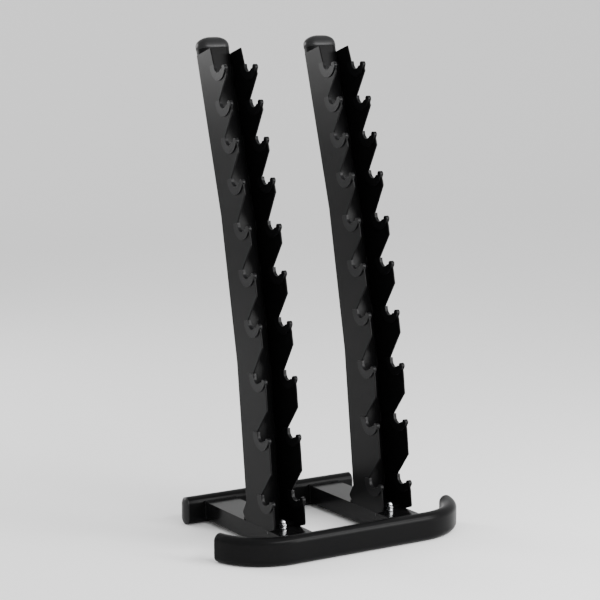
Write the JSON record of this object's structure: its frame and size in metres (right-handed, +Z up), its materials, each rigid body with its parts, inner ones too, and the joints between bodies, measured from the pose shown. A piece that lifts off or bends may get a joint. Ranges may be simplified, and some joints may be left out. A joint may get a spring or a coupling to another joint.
{
  "type": "dumbbell rack",
  "caption": "Free-standing dumbbell rack: two leaning uprights of paired notched plates with lined cradles on a flat-oval tube base.",
  "frame": {"origin": "on the floor, midway between the centre lines of the front and rear tubes, in the plane between the two uprights", "axes": "+Z up, -Y towards the front tube and the open side of the cradles, +X to the right seen from the front"},
  "size_m": [0.7842, 0.5436, 1.3869],
  "materials": {
    "black_paint": "satin black powder coat",
    "gloss_black_paint": "gloss black powder coat",
    "liner_plastic": "black moulded plastic, light sheen",
    "cap_plastic": "black moulded plastic, light sheen",
    "bright_zinc": "bright zinc plate",
    "black_zinc": "black zinc plate"
  },
  "bodies": {
    "root": {"front_tube": "black_paint", "front_cap_left": "cap_plastic", "front_cap_right": "cap_plastic", "rear_tube": "black_paint", "rear_cap_left": "cap_plastic", "rear_cap_right": "cap_plastic", "rail_left": "gloss_black_paint", "rail_right": "gloss_black_paint", "flange_left": "gloss_black_paint", "flange_right": "gloss_black_paint", "flange_bolts": "black_zinc", "flange_nuts": "black_zinc", "foot_plate_left": "black_paint", "foot_plate_right": "black_paint", "rail_bolts": "bright_zinc", "rail_washers": "bright_zinc", "rail_nuts": "bright_zinc", "rail_plugs": "cap_plastic", "post_left": "black_paint", "post_right": "black_paint", "post_cap_left": "cap_plastic", "post_cap_right": "cap_plastic", "hook_plate_left_outer": "black_paint", "hook_plate_left_inner": "black_paint", "hook_plate_right_inner": "black_paint", "hook_plate_right_outer": "black_paint", "liners_left_01": "liner_plastic", "liners_left_02": "liner_plastic", "liners_left_03": "liner_plastic", "liners_left_04": "liner_plastic", "liners_left_05": "liner_plastic", "liners_left_06": "liner_plastic", "liners_left_07": "liner_plastic", "liners_left_08": "liner_plastic", "liners_left_09": "liner_plastic", "liners_left_10": "liner_plastic", "liners_right_01": "liner_plastic", "liners_right_02": "liner_plastic", "liners_right_03": "liner_plastic", "liners_right_04": "liner_plastic", "liners_right_05": "liner_plastic", "liners_right_06": "liner_plastic", "liners_right_07": "liner_plastic", "liners_right_08": "liner_plastic", "liners_right_09": "liner_plastic", "liners_right_10": "liner_plastic"}
  },
  "joints": []
}
